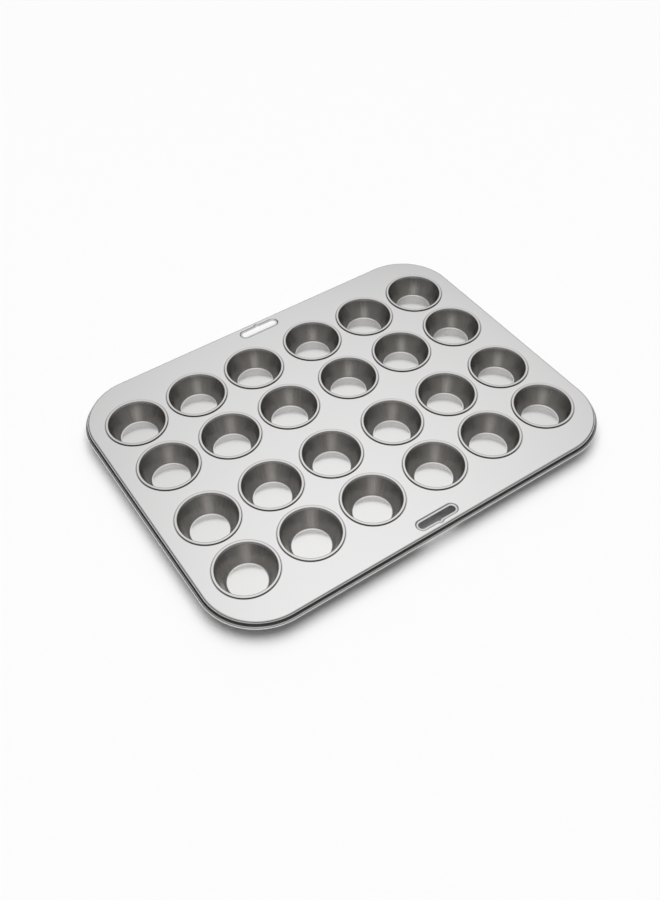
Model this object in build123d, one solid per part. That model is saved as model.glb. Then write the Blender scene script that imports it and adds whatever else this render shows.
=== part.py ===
from build123d import *

import os

# Mini muffin tin with twenty-four cups, in sheet stainless steel.
#
# The frame is one sheet: a flat with a collared hole for each cup, two hanging slots, and a turned-down
# skirt that ends in a bead rolled round a steel wire. Each cup is drawn on its own and seamed into its
# hole: the cup's flange lies over the hole's collar and is folded round the collar's edge and in under it.
#
# Millimetres. +Z is up and +X runs along the tin. The origin is under the tin's middle, at the height of
# the surface that its cups stand on.

# Driving dimensions
ROWS, COLUMNS = 4, 6
PITCH = 58.0  # between neighbouring cups, both ways
MIDDLE_GAP_X, MIDDLE_GAP_Y = 62.0, 65.0  # between the two middle columns, and the two middle rows
MOUTH_RADIUS = 23.8  # inside a cup's neck
FLOOR_RADIUS = 16.7  # where the lines of a cup's wall and floor would meet, inside
CUP_DEPTH = 17.8  # inside, from the top of the seam
NECK_HEIGHT = 2.2  # from the top of the seam down to where the wall starts to taper
SHEET = 0.35
GAP = 0.03  # between layers that lie on each other
SEAM_RADIUS = 26.4  # outside of the seam round each cup
FRAME_LENGTH, FRAME_WIDTH = 373.0, 285.0  # over the skirt
CORNER_RADIUS = 49.0  # of the skirt, seen from above
EDGE_BEND = 1.8  # outer radius of the bend from the flat to the skirt
RIM_DROP = 7.0  # from the top of the flat to the lowest point of the bead
WIRE_RADIUS = 1.0
WIRE_JOINT = 0.8  # between the two ends of the wire
BEAD_TURN = 310  # degrees that the bead goes round the wire
SLOT_LENGTH, SLOT_WIDTH = 35.2, 6.8
SLOT_CENTRE_Y = 132.9
SLOT_SINK = 0.8  # depth of the pressed lip round a slot
SLOT_LIP, SLOT_SLOPE = 1.5, 0.7  # widths of that lip, and of the slope from it up to the flat
NOTCH_RADIUS, NOTCH_DEPTH = 1.7, 1.2  # of the bite for a nail in each slot's outer side

# Heights and radii that follow from them
LAYER = SHEET + GAP
FOLD = 0.95 * LAYER  # centreline radius of a fold over one layer, with a short straight left at its middle
SEAM_TOP = CUP_DEPTH + SHEET
FLAT_TOP = SEAM_TOP - 3 * LAYER  # the seam stands three layers above the flat
FLAT_MID = FLAT_TOP - SHEET / 2
CUP_NECK = MOUTH_RADIUS + SHEET / 2
CUP_CURL = SEAM_RADIUS - SHEET / 2
COLLAR_NECK = CUP_NECK + LAYER
COLLAR_START = COLLAR_NECK + FOLD
COLLAR_END = CUP_CURL - FOLD - GAP
TUCK_END = COLLAR_START + 0.25
BEAD_RADIUS = WIRE_RADIUS + GAP + SHEET / 2  # of the rolled sheet's centreline
WIRE_OUT = BEAD_RADIUS - SHEET / 2  # from the skirt's outer face to the wire's centre
WIRE_HEIGHT = FLAT_TOP - RIM_DROP + BEAD_RADIUS + SHEET / 2


def along(index, count, middle_gap):
    """Place of one of count cups on a line that a wider middle gap splits in two."""
    side = 1 if index >= count / 2 else -1
    return (index - (count - 1) / 2) * PITCH + side * (middle_gap - PITCH) / 2


def cup_places():
    """(row, column, x, y) of every cup, with row 1 at the front and column 1 at the left."""
    for row in range(ROWS):
        for column in range(COLUMNS):
            x = along(column, COLUMNS, MIDDLE_GAP_X)
            y = along(row, ROWS, MIDDLE_GAP_Y)
            yield row + 1, column + 1, x, y


def at_cups(shape):
    """A copy of the shape at every cup."""
    return [Pos(x, y, 0) * shape for _, _, x, y in cup_places()]


def sheet_section(centreline):
    """The cross-section, in the XZ plane, of a sheet that follows this centreline."""
    return Plane.XZ * trace(centreline, line_width=SHEET)


def cup():
    """One drawn cup with its axis on Z: floor, tapered wall, neck, and a flange folded in under itself."""
    floor = SHEET / 2
    flange = SEAM_TOP - SHEET / 2
    tuck = flange - 2 * LAYER
    points = [
        (0, floor),
        (FLOOR_RADIUS + SHEET / 2, floor),
        (CUP_NECK, SEAM_TOP - NECK_HEIGHT),
        (CUP_NECK, flange),
        (CUP_CURL, flange),
        (CUP_CURL, tuck),
        (TUCK_END, tuck),
    ]
    centreline = FilletPolyline(points, radius=[2.2, 2.0, FOLD + LAYER, FOLD, FOLD])
    return revolve(sheet_section(centreline), Axis.Z)


def collar():
    """The edge of one hole in the frame, its axis on Z: turned up, then folded outwards over the flat."""
    fold = FLAT_MID + 2 * LAYER
    points = [(COLLAR_START, FLAT_MID), (COLLAR_NECK, FLAT_MID), (COLLAR_NECK, fold), (COLLAR_END, fold)]
    return revolve(sheet_section(FilletPolyline(points, radius=0.99 * FOLD)), Axis.Z)


def round_the_frame(section):
    """Carries a section once round the frame: its X is measured out from the skirt's outer face."""
    half_length, half_width = FRAME_LENGTH / 2, FRAME_WIDTH / 2
    run_x, run_y = half_length - CORNER_RADIUS, half_width - CORNER_RADIUS
    pieces = []
    for quarter, (reach, run) in enumerate([(half_length, run_y), (half_width, run_x)] * 2):
        turn = Rot(0, 0, 90 * quarter)
        side = extrude(Pos(reach, -run, 0) * section, 2 * run, dir=(0, 1, 0))
        corner = revolve(Pos(CORNER_RADIUS, 0, 0) * section, Axis.Z, 90)
        pieces += [turn * side, turn * Pos(reach - CORNER_RADIUS, run, 0) * corner]
    return pieces


def rim():
    """The bend, the skirt and the rolled bead, all round the frame."""
    skirt = -SHEET / 2
    points = [(-EDGE_BEND, FLAT_MID), (skirt, FLAT_MID), (skirt, WIRE_HEIGHT)]
    bend = FilletPolyline(points, radius=0.99 * (EDGE_BEND - SHEET / 2))
    bead = CenterArc((WIRE_OUT, WIRE_HEIGHT), BEAD_RADIUS, 180, BEAD_TURN)
    return round_the_frame(sheet_section(bend + bead))


def slot_outline(height, grow):
    """A hanging slot, notched towards +Y, at this height and grown by this much all round."""
    slot = SlotOverall(SLOT_LENGTH + 2 * grow, SLOT_WIDTH + 2 * grow)
    notch = Circle(NOTCH_RADIUS + grow)
    return Pos(0, 0, height) * (slot + Pos(0, SLOT_WIDTH / 2 + NOTCH_DEPTH - NOTCH_RADIUS) * notch)


def slot_metal():
    """The metal that pressing one slot's lip down puts below the flat."""
    thicken = SHEET / 2  # keeps the slope about as thick as the flat
    under = FLAT_TOP - SHEET
    mouth = slot_outline(under, SLOT_LIP + SLOT_SLOPE + thicken)
    foot = slot_outline(under - SLOT_SINK, SLOT_LIP + thicken)
    return loft([mouth, foot])


def slot_space():
    """The space over one slot's pressed lip, with the slot itself."""
    mouth = slot_outline(FLAT_TOP, SLOT_LIP + SLOT_SLOPE)
    foot = slot_outline(FLAT_TOP - SLOT_SINK, SLOT_LIP)
    return loft([mouth, foot]) + extrude(slot_outline(FLAT_TOP - 3, 0), 4)


def at_slots(shape):
    """The shape at both slots, with its +Y side outwards."""
    back = Pos(0, SLOT_CENTRE_Y, 0) * shape
    return [back, Rot(0, 0, 180) * back]


def frame_sheet():
    """The whole frame in one sheet: flat, collars, slots, skirt and bead."""
    inset = 2 * EDGE_BEND
    outline = RectangleRounded(FRAME_LENGTH - inset, FRAME_WIDTH - inset, CORNER_RADIUS - EDGE_BEND)
    flat = extrude(Pos(0, 0, FLAT_TOP - SHEET) * outline, SHEET)
    flat -= at_cups(extrude(Pos(0, 0, FLAT_TOP - 1) * Circle(COLLAR_START), 2))
    flat += at_slots(slot_metal())
    flat -= at_slots(slot_space())
    return flat + at_cups(collar()) + rim()


def rim_wire():
    """The wire inside the bead, one length whose ends nearly meet at the middle of the back."""
    section = Pos(WIRE_OUT, 0, WIRE_HEIGHT) * (Plane.XZ * Circle(WIRE_RADIUS))
    joint = Pos(0, FRAME_WIDTH / 2, WIRE_HEIGHT) * Box(WIRE_JOINT, 10, 10)
    return Part() + round_the_frame(section) - joint


def write(shape, node):
    """Keeps the shape as one named piece."""
    export_step(shape, f"parts/{node}.step")


os.makedirs("parts", exist_ok=True)
write(frame_sheet(), "frame_sheet")
write(rim_wire(), "rim_wire")
drawn_cup = cup()
for row, column, x, y in cup_places():
    write(Pos(x, y, 0) * drawn_cup, f"cup_row{row}_col{column}")
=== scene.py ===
from math import asin, ceil, cos, pi, radians, sin, tan

import bmesh
import bpy
from mathutils import Matrix, Vector
from mathutils.geometry import delaunay_2d_cdt


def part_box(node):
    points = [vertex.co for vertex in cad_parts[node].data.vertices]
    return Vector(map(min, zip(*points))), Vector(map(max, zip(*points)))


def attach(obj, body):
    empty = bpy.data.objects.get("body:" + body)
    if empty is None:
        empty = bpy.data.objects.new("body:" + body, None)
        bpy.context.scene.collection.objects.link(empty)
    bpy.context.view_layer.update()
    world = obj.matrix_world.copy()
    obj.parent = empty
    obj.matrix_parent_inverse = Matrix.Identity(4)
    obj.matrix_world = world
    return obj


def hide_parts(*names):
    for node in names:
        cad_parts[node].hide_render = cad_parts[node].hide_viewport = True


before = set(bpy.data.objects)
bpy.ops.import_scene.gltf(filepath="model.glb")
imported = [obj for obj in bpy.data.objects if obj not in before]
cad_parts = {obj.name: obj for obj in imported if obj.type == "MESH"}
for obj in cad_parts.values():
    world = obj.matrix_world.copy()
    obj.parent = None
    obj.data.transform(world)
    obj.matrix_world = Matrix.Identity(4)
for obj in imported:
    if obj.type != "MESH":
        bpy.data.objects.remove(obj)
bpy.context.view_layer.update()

# A mini muffin tin in sheet stainless steel. The CAD frame and cups are rebuilt here with fine, smooth
# meshes at the same sizes, and get rolled and drawn steel finishes. All lengths are in metres.

MM = 0.001

# Sizes that the frame gives
frame_low, frame_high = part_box("frame_sheet")
cup_low, cup_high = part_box("cup_row1_col1")
SEAM_TOP = cup_high.z
SEAM_RADIUS = (cup_high.x - cup_low.x) / 2
RIM_LOW = frame_low.z
CUP_NODES = sorted(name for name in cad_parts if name.startswith("cup_"))

# Sizes that the frame doesn't give, as the tin is designed
FIRST_CUP = (31.0 * MM, 32.5 * MM)  # from the tin's middle to the nearest cup's axis, along X and Y
PITCH = 58.0 * MM
LAST_CUP = (2 * PITCH, PITCH)  # from that cup's axis out to the last one's
SHEET = 0.35 * MM
GAP = 0.03 * MM  # between layers that lie on each other
MOUTH_RADIUS = 23.8 * MM
FLOOR_RADIUS = 16.7 * MM
NECK_HEIGHT = 2.2 * MM
FLOOR_BEND, WALL_BEND = 2.2 * MM, 2.0 * MM  # from a cup's floor to its wall, and from there to its neck
TUCK = 0.25 * MM  # how far the folded flange ends outside the collar's foot
CORNER_RADIUS = 49.0 * MM
EDGE_BEND = 1.8 * MM
WIRE_RADIUS = 1.0 * MM
BEAD_TURN = radians(310)  # how far the bead goes round the wire
SLOT_LENGTH, SLOT_WIDTH = 35.2 * MM, 6.8 * MM
SLOT_CENTRE_Y = 132.9 * MM
SLOT_SINK, SLOT_LIP, SLOT_SLOPE = 0.8 * MM, 1.5 * MM, 0.7 * MM
SLOT_BEND, SLOT_MARGIN = 0.8 * MM, 0.5 * MM  # the lip's bends, and the flat metal kept round its slope
NOTCH_RADIUS, NOTCH_DEPTH = 1.7 * MM, 1.2 * MM

# Heights and lengths that follow from both
LAYER = SHEET + GAP
BEAD_RADIUS = WIRE_RADIUS + GAP + SHEET / 2  # of the rolled sheet's middle
FLAT_TOP = SEAM_TOP - 3 * LAYER
FLAT_MID = FLAT_TOP - SHEET / 2
FOLD = 0.95 * LAYER  # radius of a fold over one layer, with a short straight left at its middle
CUP_NECK = MOUTH_RADIUS + SHEET / 2
COLLAR_NECK = CUP_NECK + LAYER
COLLAR_START = COLLAR_NECK + FOLD
WIRE_OUT = BEAD_RADIUS - SHEET / 2
BEAD_REACH = WIRE_OUT + BEAD_RADIUS + SHEET / 2  # from the skirt's outer face to the bead's outside
WIRE_HEIGHT = RIM_LOW + BEAD_RADIUS + SHEET / 2
HALF_LENGTH = frame_high.x - BEAD_REACH  # to the skirt's outer face
HALF_WIDTH = frame_high.y - BEAD_REACH

# Fineness of the meshes
ARC_STEP = radians(12)
CUP_SEGMENTS, COLLAR_SEGMENTS = 128, 72
CORNER_STEPS, SLOT_END_STEPS, NOTCH_STEPS = 32, 24, 16
WELD = 0.002 * MM  # points nearer than this become one
SHARP = radians(40)  # edges bent more than this stay sharp

# The steels' colours, each from its darker to its paler shade
SHEET_SHADES = (0.765, 0.765, 0.765), (0.815, 0.815, 0.81)
# the walls are darker than the cup floors of the same sheet: painted shade inside each cup
SHADED_WALL_TONES = (0.47, 0.455, 0.44), (0.60, 0.585, 0.57)
CUP_FLOOR_SHADES = (0.76, 0.755, 0.75), (0.82, 0.815, 0.81)
WIRE_SHADES = (0.5, 0.5, 0.5), (0.62, 0.62, 0.61)
PAINTED_SHADE = (0.14, 0.135, 0.13)  # painted shade in the frame's crease over the bead and beside the seams
SEAM_COLOUR = (0.70, 0.69, 0.675)
FOLD_PAINTED_SHADE = (0.28, 0.27, 0.26)  # painted shade at the seam's outer edge

# Where the finishes and the painted shade change
PAINTED_SHADE_WIDTH, PAINTED_SHADE_BY_SEAM = 1.1 * MM, 0.7  # the painted shade's width outside a seam, and its strength there
SKIRT_PAINTED_SHADE = (FLAT_TOP - 2.0 * MM, FLAT_TOP - 0.5 * MM)  # heights between which the painted shade fades up the skirt
BEAD_TOP = WIRE_HEIGHT + BEAD_RADIUS
BEAD_PAINTED_SHADE = (BEAD_TOP - 0.1 * MM, BEAD_TOP + 0.3 * MM)  # heights between which the painted shade fades down the bead
WALL_FOOT = (15.6 * MM, 17.0 * MM)  # radii between which a cup's floor turns into its wall
WALL_HEAD = (SEAM_TOP - 1.6 * MM, SEAM_TOP - 0.6 * MM)  # heights where the wall's finish ends
SEAM_INSIDE = (MOUTH_RADIUS - 0.2 * MM, MOUTH_RADIUS + 0.3 * MM)  # radii where the seam's colour begins
FOLD_SHADE_RADII = (SEAM_RADIUS - 0.30 * MM, SEAM_RADIUS - 0.05 * MM)  # radii where the painted shade on the seam's outer edge begins
WALL_NOISE_RADIUS = 20 * MM  # of the cylinder on which the wall's noises are read

# The camera
CAMERA_AZIMUTH, CAMERA_ELEVATION, CAMERA_ROLL = radians(-32.86), radians(48.86), radians(-1.52)
CAMERA_DISTANCE = 0.8311
CAMERA_LENS = 39.14  # mm, on a 36 mm sensor
AIM_LEFT, AIM_DOWN = 8.70 * MM, 31.40 * MM  # from the middle of the tin's top, as the camera sees it

# The light
SKY_STRENGTH = 1.2
SKY_STOPS = [  # (sine of the elevation, brightness there)
    (0.0, 0.45),
    (0.08, 0.30),
    (0.50, 0.26),
    (0.56, 0.34),
    (0.61, 0.72),
    (0.70, 0.80),
    (0.84, 0.95),
    (1.0, 0.86),
]
SKY_TURN = (0.75, 1.0)  # cosines of the turn from the soft box over which the sky gets brighter
SKY_BEHIND = 0.40  # brightness of the sky away from the soft box
SKY_OVERHEAD = (0.85, 1.0)  # sines of the elevation over which that turn stops mattering
KEY_STRENGTH = 1.90
KEY_AZIMUTH, KEY_ELEVATION = radians(-36), radians(76)
KEY_WIDTH = radians(60)

# The floor
FLOOR_REACH = 4.0  # from its middle to each side
FLOOR_HEIGHT = -0.1 * MM  # just clear of the cups' bottoms


# Sections of bent sheet -------------------------------------------------------------------------------


def left_of(direction):
    """The direction a quarter turn to the left."""
    return Vector((-direction.y, direction.x))


def steps_for(turn):
    """How many steps a bend through this angle is drawn in."""
    return max(2, ceil(abs(turn) / ARC_STEP))


def arc(centre, radius, start, turn, steps=None):
    """(point, outward direction) pairs along an arc."""
    steps = steps or steps_for(turn)
    pairs = []
    for i in range(steps + 1):
        angle = start + turn * i / steps
        out = Vector((cos(angle), sin(angle)))
        pairs.append((Vector(centre) + radius * out, out))
    return pairs


def bent_line(corners, radii):
    """(point, left normal) pairs along a line whose inner corners are rounded to these radii."""
    corners = [Vector(corner) for corner in corners]
    first = (corners[1] - corners[0]).normalized()
    last = (corners[-1] - corners[-2]).normalized()
    line = [(corners[0], left_of(first))]
    for before, corner, after, radius in zip(corners, corners[1:], corners[2:], radii):
        into, out = (corner - before).normalized(), (after - corner).normalized()
        turn = -into.angle_signed(out)  # positive to the left
        side = 1 if turn > 0 else -1
        start = corner - into * radius * tan(abs(turn) / 2)
        centre = start + side * radius * left_of(into)
        steps = steps_for(turn)
        for i in range(steps + 1):
            normal = Matrix.Rotation(turn * i / steps, 2) @ left_of(into)
            line.append((centre - side * radius * normal, normal))
    line.append((corners[-1], left_of(last)))
    return line


def sheet_section(line):
    """The outline of a sheet whose middle follows a line, from its left face round to its right face."""
    left = [point + normal * SHEET / 2 for point, normal in line]
    right = [point - normal * SHEET / 2 for point, normal in line]
    return left + right[::-1]


# Meshes ----------------------------------------------------------------------------------------------


class Shell:
    """Collects points and faces, and turns them into one smooth closed mesh."""

    def __init__(self):
        self.points = []
        self.faces = []

    def add(self, points, faces):
        """Takes in points, and faces that count those points from nought."""
        first = len(self.points)
        self.points += points
        self.faces += [[first + corner for corner in face] for face in faces]

    def bridge(self, rings):
        """Faces between neighbouring rings of equally many points; a ring of one point closes a disc."""
        for ring, following in zip(rings, rings[1:]):
            count = max(len(ring), len(following))
            offset = len(ring)
            faces = []
            for i in range(count):
                j = (i + 1) % count
                if len(ring) == 1:
                    faces.append([0, offset + i, offset + j])
                elif len(following) == 1:
                    faces.append([i, j, offset])
                else:
                    faces.append([i, j, offset + j, offset + i])
            self.add(ring + following, faces)

    def mesh(self, name):
        """The mesh of it all, with points that meet welded and every face turned outwards."""
        mesh = bpy.data.meshes.new(name)
        mesh.from_pydata(self.points, [], self.faces)
        work = bmesh.new()
        work.from_mesh(mesh)
        bmesh.ops.remove_doubles(work, verts=work.verts, dist=WELD)
        bmesh.ops.recalc_face_normals(work, faces=work.faces)
        work.to_mesh(mesh)
        work.free()
        mesh.shade_smooth()
        mesh.set_sharp_from_angle(angle=SHARP)
        return mesh


def turned_rings(section, segments, centre=(0, 0)):
    """Rings of points where a section, of radius and height, is turned about an upright axis."""
    directions = [out for _, out in arc((0, 0), 1, 0, 2 * pi, segments)[:-1]]
    rings = []
    for radius, height in section:
        spots = [Vector((0, 0))] if radius < WELD / 2 else [radius * out for out in directions]
        rings.append([(centre[0] + spot.x, centre[1] + spot.y, height) for spot in spots])
    return rings


def cup_mesh():
    """A drawn cup on its own axis: floor, tapered wall, neck, and the flange folded under at its edge."""
    floor = SHEET / 2
    flange = SEAM_TOP - SHEET / 2
    tuck = flange - 2 * LAYER
    curl = SEAM_RADIUS - SHEET / 2
    corners = [
        (0, floor),
        (FLOOR_RADIUS + SHEET / 2, floor),
        (CUP_NECK, SEAM_TOP - NECK_HEIGHT),
        (CUP_NECK, flange),
        (curl, flange),
        (curl, tuck),
        (COLLAR_START + TUCK, tuck),
    ]
    line = bent_line(corners, [FLOOR_BEND, WALL_BEND, FOLD + LAYER, FOLD, FOLD])
    shell = Shell()
    shell.bridge(turned_rings(sheet_section(line), CUP_SEGMENTS))
    return shell.mesh("cup")


def round_frame(section):
    """Rings of points where a section is carried round the frame, its first size outwards."""
    run_x, run_y = HALF_LENGTH - CORNER_RADIUS, HALF_WIDTH - CORNER_RADIUS
    stations = []
    for quarter, (side_x, side_y) in enumerate([(1, 1), (-1, 1), (-1, -1), (1, -1)]):
        corner = (side_x * run_x, side_y * run_y)
        stations += [(corner, way) for _, way in arc((0, 0), 1, quarter * pi / 2, pi / 2, CORNER_STEPS)]
    rings = []
    for out, height in section:
        reach = CORNER_RADIUS + out
        rings.append([(c[0] + reach * way.x, c[1] + reach * way.y, height) for c, way in stations])
    return rings


def rim_section():
    """The bend, skirt and bead: its first size is outwards from the skirt's outer face."""
    skirt = -SHEET / 2
    corners = [(-EDGE_BEND, FLAT_MID), (skirt, FLAT_MID), (skirt, WIRE_HEIGHT)]
    bend = bent_line(corners, [EDGE_BEND - SHEET / 2])
    bead = arc((WIRE_OUT, WIRE_HEIGHT), BEAD_RADIUS, pi, BEAD_TURN)
    return sheet_section(bend + [(point, -out) for point, out in bead[1:]])


def collar_section():
    """The turned-up edge of a hole in the frame, folded outwards over the flat."""
    fold = FLAT_MID + 2 * LAYER
    end = SEAM_RADIUS - SHEET / 2 - FOLD - GAP
    corners = [(COLLAR_START, FLAT_MID), (COLLAR_NECK, FLAT_MID), (COLLAR_NECK, fold), (end, fold)]
    bend = 0.99 * FOLD  # a hair less than there is room for
    return sheet_section(bent_line(corners, [bend, bend]))


def slot_outline(grow):
    """Points round a slot that is notched towards +Y, grown by this much all round."""
    end = SLOT_WIDTH / 2 + grow
    straight = (SLOT_LENGTH - SLOT_WIDTH) / 2
    notch = NOTCH_RADIUS + grow
    notch_y = SLOT_WIDTH / 2 + NOTCH_DEPTH - NOTCH_RADIUS
    low = asin((end - notch_y) / notch)  # where the notch leaves the slot's straight side
    outline = arc((straight, 0), end, -pi / 2, pi, SLOT_END_STEPS)
    outline += arc((0, notch_y), notch, low, pi - 2 * low, NOTCH_STEPS)
    outline += arc((-straight, 0), end, pi / 2, pi, SLOT_END_STEPS)
    return [point for point, _ in outline]


def slot_rings(side):
    """Rings round the slot at the back (side 1) or front (side -1), down over its pressed lip."""
    lip = FLAT_MID - SLOT_SINK
    mouth = SLOT_LIP + SLOT_SLOPE
    corners = [(mouth + SLOT_MARGIN, FLAT_MID), (mouth, FLAT_MID), (SLOT_LIP, lip), (0, lip)]
    rings = []
    for grow, height in sheet_section(bent_line(corners, [SLOT_BEND, SLOT_BEND])):
        spots = slot_outline(grow)
        rings.append([(side * spot.x, side * (SLOT_CENTRE_Y + spot.y), height) for spot in spots])
    return rings


def flat_faces(outlines):
    """Triangles that fill the first outline and leave the others as holes."""
    points, loops = [], []
    for outline in outlines:
        loops.append(list(range(len(points), len(points) + len(outline))))
        points += [Vector(spot[:2]) for spot in outline]
    inside_with_holes, nearness = 2, 1e-7
    filled = delaunay_2d_cdt(points, [], loops, inside_with_holes, nearness)
    return filled[0], filled[2]


def frame_mesh(cup_centres):
    """The whole frame: flat, collars, slots, skirt and bead, in one closed shell."""
    shell = Shell()
    rim = round_frame(rim_section())
    shell.bridge(rim)
    outlines = [rim[0]]
    for centre in cup_centres:
        rings = turned_rings(collar_section(), COLLAR_SEGMENTS, centre)
        shell.bridge(rings)
        outlines.append(rings[0])
    for side in (1, -1):
        rings = slot_rings(side)
        shell.bridge(rings)
        outlines.append(rings[0])
    spots, triangles = flat_faces(outlines)
    for height in (FLAT_TOP, FLAT_TOP - SHEET):
        shell.add([(spot.x, spot.y, height) for spot in spots], triangles)
    return shell.mesh("frame")


# Materials -------------------------------------------------------------------------------------------


def put(tree, kind, inputs=None, **settings):
    """Adds a node. inputs gives its sockets a value each, or another node's output."""
    node = tree.nodes.new("ShaderNode" + kind)
    for name, value in settings.items():
        setattr(node, name, value)
    for socket, value in (inputs or {}).items():
        if isinstance(value, bpy.types.NodeSocket):
            tree.links.new(value, node.inputs[socket])
        else:
            node.inputs[socket].default_value = value
    return node


def new_material(name):
    """(material, its node tree, its shader)"""
    material = bpy.data.materials.new(name)
    material.use_nodes = True
    return material, material.node_tree, material.node_tree.nodes["Principled BSDF"]


def new_steel(name):
    """(material, its node tree, its shader, the place on the piece) of a bare metal."""
    material, tree, shader = new_material(name)
    shader.inputs["Metallic"].default_value = 1.0
    return material, tree, shader, put(tree, "TexCoord").outputs["Object"]


def noise(tree, place, scale, detail):
    """Noise at a place, with this many features per metre along X, Y and Z."""
    mapped = put(tree, "Mapping", {"Vector": place, "Scale": scale})
    inputs = {"Vector": mapped.outputs[0], "Scale": 1.0, "Detail": detail, "Roughness": 0.55}
    return put(tree, "TexNoise", inputs).outputs["Fac"]


def spread(tree, value, low, high, source=(0.3, 0.7)):
    """A value with its source range, by default the one most noise lies in, spread over low to high."""
    inputs = {"Value": value, "From Min": source[0], "From Max": source[1], "To Min": low, "To Max": high}
    return put(tree, "MapRange", inputs).outputs[0]


def maths(tree, operation, *values):
    """The result of one operation on one or two values."""
    return put(tree, "Math", dict(enumerate(values)), operation=operation).outputs[0]


def blend(tree, one, other, share):
    """A share of one value and the rest of the other."""
    parts = maths(tree, "MULTIPLY", one, share), maths(tree, "MULTIPLY", other, 1 - share)
    return maths(tree, "ADD", *parts)


def blend_colour(tree, factor, dark, light):
    """One colour where the factor is 0 and the other where it is 1. Each is three numbers or an output."""
    node = put(tree, "Mix", {"Factor": factor}, data_type="RGBA")
    first_colour, second_colour, mixed_colour = 6, 7, 2  # the node's sockets for colours
    for socket, colour in ((first_colour, dark), (second_colour, light)):
        if isinstance(colour, bpy.types.NodeSocket):
            tree.links.new(colour, node.inputs[socket])
        else:
            node.inputs[socket].default_value = (*colour, 1)
    return node.outputs[mixed_colour]


def bump(tree, height, distance, strength, under=None):
    """The normal of a surface with this much relief, over another bump where one is given."""
    inputs = {"Height": height, "Distance": distance, "Strength": strength}
    if under:
        inputs["Normal"] = under
    return put(tree, "Bump", inputs).outputs[0]


def level_part(tree, axes):
    """A direction or place without its height."""
    return put(tree, "CombineXYZ", {0: axes.outputs[0], 1: axes.outputs[1], 2: 0.0}).outputs[0]


def length(tree, vector):
    """The vector's length."""
    return put(tree, "VectorMath", {0: vector}, operation="LENGTH").outputs["Value"]


def direction_of(tree, vector):
    """The vector's direction."""
    return put(tree, "VectorMath", {0: vector}, operation="NORMALIZE").outputs[0]


def from_cup(tree, place):
    """The distance from the axis of the nearest cup, on the frame's flat."""
    axes = put(tree, "SeparateXYZ", {0: place})
    offsets = []
    for axis, (first, last) in enumerate(zip(FIRST_CUP, LAST_CUP)):
        outward = maths(tree, "SUBTRACT", maths(tree, "ABSOLUTE", axes.outputs[axis]), first)
        nearest = maths(tree, "SNAP", maths(tree, "ADD", outward, PITCH / 2), PITCH)
        nearest = maths(tree, "MINIMUM", maths(tree, "MAXIMUM", nearest, 0.0), last)
        offsets.append(maths(tree, "SUBTRACT", outward, nearest))
    return length(tree, put(tree, "CombineXYZ", {0: offsets[0], 1: offsets[1], 2: 0.0}).outputs[0])


def frame_painted_shade(tree, place):
    """How much painted shade the frame gets: 1 in the crease over the bead, less beside the seams, 0 on
    the flat.
    """
    height = put(tree, "SeparateXYZ", {0: place}).outputs[2]
    beside_seam = spread(tree, from_cup(tree, place), 1, 0, (SEAM_RADIUS, SEAM_RADIUS + PAINTED_SHADE_WIDTH))
    on_skirt = spread(tree, height, 1, 0, SKIRT_PAINTED_SHADE)
    over_bead = spread(tree, height, 0, 1, BEAD_PAINTED_SHADE)
    crease = maths(tree, "MULTIPLY", on_skirt, over_bead)
    return maths(tree, "MAXIMUM", maths(tree, "MULTIPLY", beside_seam, PAINTED_SHADE_BY_SEAM), crease)


def rolled_sheet():
    """The frame's cold-rolled sheet: pale and satin, with a fine grain, and painted shade by the seams and
    in the crease over the bead.
    """
    material, tree, shader, place = new_steel("rolled_sheet")
    grain = noise(tree, place, (900, 2600, 2600), detail=2)
    cloud = noise(tree, place, (14, 14, 14), detail=4)
    shade = blend(tree, grain, cloud, 0.5)
    colour = blend_colour(tree, spread(tree, shade, 0, 1), *SHEET_SHADES)
    # painted shade: the crease over the bead and the sheet just outside each seam are darkened for the
    # shadow there
    with_painted_shade = blend_colour(tree, frame_painted_shade(tree, place), colour, PAINTED_SHADE)
    tree.links.new(with_painted_shade, shader.inputs["Base Color"])
    tree.links.new(spread(tree, cloud, 0.20, 0.24), shader.inputs["Roughness"])
    wavy = bump(tree, cloud, 0.25 * MM, 0.15)
    tree.links.new(bump(tree, grain, 0.004 * MM, 0.4, wavy), shader.inputs["Normal"])
    return material


def wall_place(tree, across, height):
    """The place beyond this one on an upright cylinder, so that noises keep their width up the taper."""
    way = direction_of(tree, across)
    out = put(tree, "VectorMath", {0: way, 3: WALL_NOISE_RADIUS}, operation="SCALE").outputs[0]
    up = put(tree, "CombineXYZ", {0: 0.0, 1: 0.0, 2: height}).outputs[0]
    return put(tree, "VectorMath", {0: out, 1: up}, operation="ADD").outputs[0]


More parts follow.
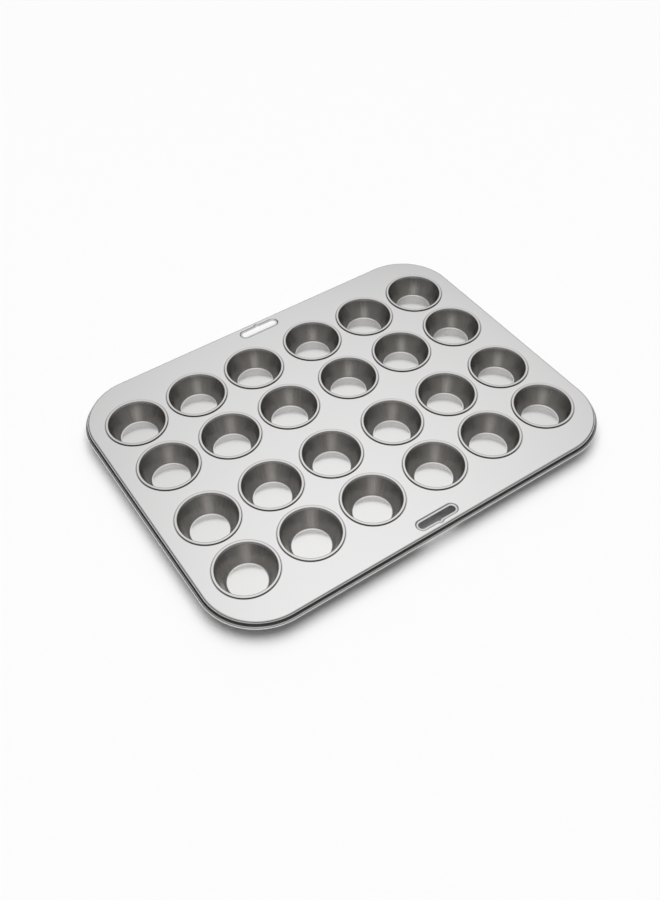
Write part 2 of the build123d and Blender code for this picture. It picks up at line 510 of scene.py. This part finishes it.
def drawn_steel():
    """The cups' drawn sheet: warm walls with fine lines up them, painted darker than the floor as shade, a
    bright floor, and a bright seam with painted shade at its outer edge.
    """
    material, tree, shader, place = new_steel("drawn_steel")
    axes = put(tree, "SeparateXYZ", {0: place})
    across, height = level_part(tree, axes), axes.outputs[2]
    radius = length(tree, across)
    around = wall_place(tree, across, height)
    streaks = noise(tree, around, (700, 700, 60), detail=3)
    bands = noise(tree, around, (90, 90, 90), detail=3)
    grain = noise(tree, place, (1600, 1600, 1600), detail=2)
    above_floor = spread(tree, radius, 0, 1, WALL_FOOT)
    wall = maths(tree, "MULTIPLY", above_floor, spread(tree, height, 1, 0, WALL_HEAD))

    shade = blend(tree, streaks, bands, 0.6)
    # painted shade: the walls take darker steel than the floor, for the shade inside the cup
    walls = blend_colour(tree, spread(tree, shade, 0, 1), *SHADED_WALL_TONES)
    floors = blend_colour(tree, spread(tree, grain, 0, 1), *CUP_FLOOR_SHADES)
    smooth = blend_colour(tree, spread(tree, radius, 0, 1, SEAM_INSIDE), floors, SEAM_COLOUR)
    steel = blend_colour(tree, wall, smooth, walls)
    # painted shade: the seam's outer fold is darkened for the shadow under its edge
    fold_shade = spread(tree, radius, 0, 0.8, FOLD_SHADE_RADII)
    tree.links.new(blend_colour(tree, fold_shade, steel, FOLD_PAINTED_SHADE), shader.inputs["Base Color"])

    rough_wall = maths(tree, "MULTIPLY", wall, spread(tree, streaks, 0.03, 0.08))
    rough = maths(tree, "ADD", spread(tree, grain, 0.15, 0.19), rough_wall)
    tree.links.new(rough, shader.inputs["Roughness"])
    lines = bump(tree, maths(tree, "MULTIPLY", streaks, wall), 0.02 * MM, 0.35)
    tree.links.new(bump(tree, grain, 0.004 * MM, 0.35, lines), shader.inputs["Normal"])
    return material


def drawn_wire():
    """The wire in the bead: bright steel with fine lines along its length."""
    material, tree, shader, place = new_steel("drawn_wire")
    lines = noise(tree, place, (60, 60, 4000), detail=2)
    colour = blend_colour(tree, spread(tree, lines, 0, 1), *WIRE_SHADES)
    tree.links.new(colour, shader.inputs["Base Color"])
    tree.links.new(spread(tree, lines, 0.25, 0.4), shader.inputs["Roughness"])
    return material


def white_floor():
    """Plain matt white board."""
    material, _, shader = new_material("white_floor")
    shader.inputs["Base Color"].default_value = (0.93, 0.93, 0.93, 1)
    shader.inputs["Roughness"].default_value = 0.8
    shader.inputs["Specular IOR Level"].default_value = 0.1
    return material


# The pieces ------------------------------------------------------------------------------------------


def middle_of(node):
    """The middle of a CAD node's box, seen from above."""
    low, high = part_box(node)
    return (low.x + high.x) / 2, (low.y + high.y) / 2


def piece(name, mesh, node):
    """Puts a mesh in the scene in place of a CAD node."""
    made = bpy.data.objects.new(name, mesh)
    bpy.context.scene.collection.objects.link(made)
    weighted = made.modifiers.new("even_normals", "WEIGHTED_NORMAL")
    weighted.keep_sharp = True
    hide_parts(node)
    return made


def build_frame(material):
    """The frame's one sheet, over the CAD frame."""
    mesh = frame_mesh([middle_of(node) for node in CUP_NODES])
    mesh.materials.append(material)
    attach(piece("frame_with_rolled_rim", mesh, "frame_sheet"), "root")


def build_cups(material):
    """One drawn cup in each hole, each turned further than the last so that no two look quite alike."""
    mesh = cup_mesh()
    mesh.materials.append(material)
    turn = 2.4  # radians from one cup to the next
    for number, node in enumerate(CUP_NODES):
        cup = piece("drawn_" + node, mesh, node)
        cup.location = (*middle_of(node), 0)
        cup.rotation_euler.z = turn * number
        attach(cup, "root")


def finish_wire(material):
    """Gives the CAD wire its steel."""
    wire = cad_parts["rim_wire"]
    wire.data.materials.clear()
    wire.data.materials.append(material)


# The stage -------------------------------------------------------------------------------------------


def build_floor():
    """A square of white board under the tin."""
    sides = [(-1, -1), (1, -1), (1, 1), (-1, 1)]
    corners = [(x * FLOOR_REACH, y * FLOOR_REACH, FLOOR_HEIGHT) for x, y in sides]
    mesh = bpy.data.meshes.new("floor")
    mesh.from_pydata(corners, [], [[0, 1, 2, 3]])
    mesh.materials.append(white_floor())
    floor = bpy.data.objects.new("floor", mesh)
    bpy.context.scene.collection.objects.link(floor)


def sky_ramp(tree, height):
    """The sky's brightness by the sine of the elevation."""
    ramp = put(tree, "ValToRGB", {0: height})
    stops = ramp.color_ramp.elements
    stops.remove(stops[1])
    for number, (at, bright) in enumerate(SKY_STOPS):
        stop = stops[0] if number == 0 else stops.new(at)
        stop.position = at
        stop.color = (bright, bright, bright, 1)
    return ramp.outputs[0]


def build_sky():
    """A studio: one wide soft box beyond the tin, high up, with dim walls below and on the other sides."""
    world = bpy.data.worlds.new("studio")
    bpy.context.scene.world = world
    world.use_nodes = True
    tree = world.node_tree
    axes = put(tree, "SeparateXYZ", {0: put(tree, "TexCoord").outputs["Generated"]})
    height = axes.outputs[2]
    to_soft_box = (-sin(KEY_AZIMUTH), cos(KEY_AZIMUTH), 0)
    inputs = {0: direction_of(tree, level_part(tree, axes)), 1: to_soft_box}
    facing = put(tree, "VectorMath", inputs, operation="DOT_PRODUCT").outputs["Value"]
    side = spread(tree, facing, SKY_BEHIND, 1, SKY_TURN)
    overhead = spread(tree, height, 0, 1, SKY_OVERHEAD)
    share = put(tree, "Mix", {"Factor": overhead, "A": side, "B": 1.0}).outputs[0]
    background = tree.nodes["Background"]
    tree.links.new(sky_ramp(tree, height), background.inputs["Color"])
    tree.links.new(maths(tree, "MULTIPLY", share, SKY_STRENGTH), background.inputs["Strength"])


def build_key_light():
    """The soft box's light on the floor. The steel sees the box itself in the sky, so not this."""
    data = bpy.data.lights.new("soft_box", "SUN")
    data.energy = KEY_STRENGTH
    data.angle = KEY_WIDTH
    light = bpy.data.objects.new("soft_box", data)
    light.rotation_euler = (KEY_ELEVATION - pi / 2, 0, KEY_AZIMUTH)
    light.visible_glossy = False
    bpy.context.scene.collection.objects.link(light)


def build_camera():
    """The camera, at the photograph's angle."""
    data = bpy.data.cameras.new("camera")
    data.lens = CAMERA_LENS
    camera = bpy.data.objects.new("camera", data)
    bpy.context.scene.collection.objects.link(camera)
    bpy.context.scene.camera = camera
    across = cos(CAMERA_ELEVATION)
    back = Vector((sin(CAMERA_AZIMUTH) * across, -cos(CAMERA_AZIMUTH) * across, sin(CAMERA_ELEVATION)))
    level = Vector((cos(CAMERA_AZIMUTH), sin(CAMERA_AZIMUTH), 0))
    upright = back.cross(level)
    right = cos(CAMERA_ROLL) * level + sin(CAMERA_ROLL) * upright
    up = cos(CAMERA_ROLL) * upright - sin(CAMERA_ROLL) * level
    aim = Vector((0, 0, SEAM_TOP)) - AIM_LEFT * right - AIM_DOWN * up
    turn = Matrix((right, up, back)).transposed().to_4x4()
    camera.matrix_world = Matrix.Translation(aim + CAMERA_DISTANCE * back) @ turn


build_camera()
build_frame(rolled_sheet())
build_cups(drawn_steel())
finish_wire(drawn_wire())
build_floor()
build_sky()
build_key_light()
bpy.context.scene.view_settings.view_transform = "Standard"
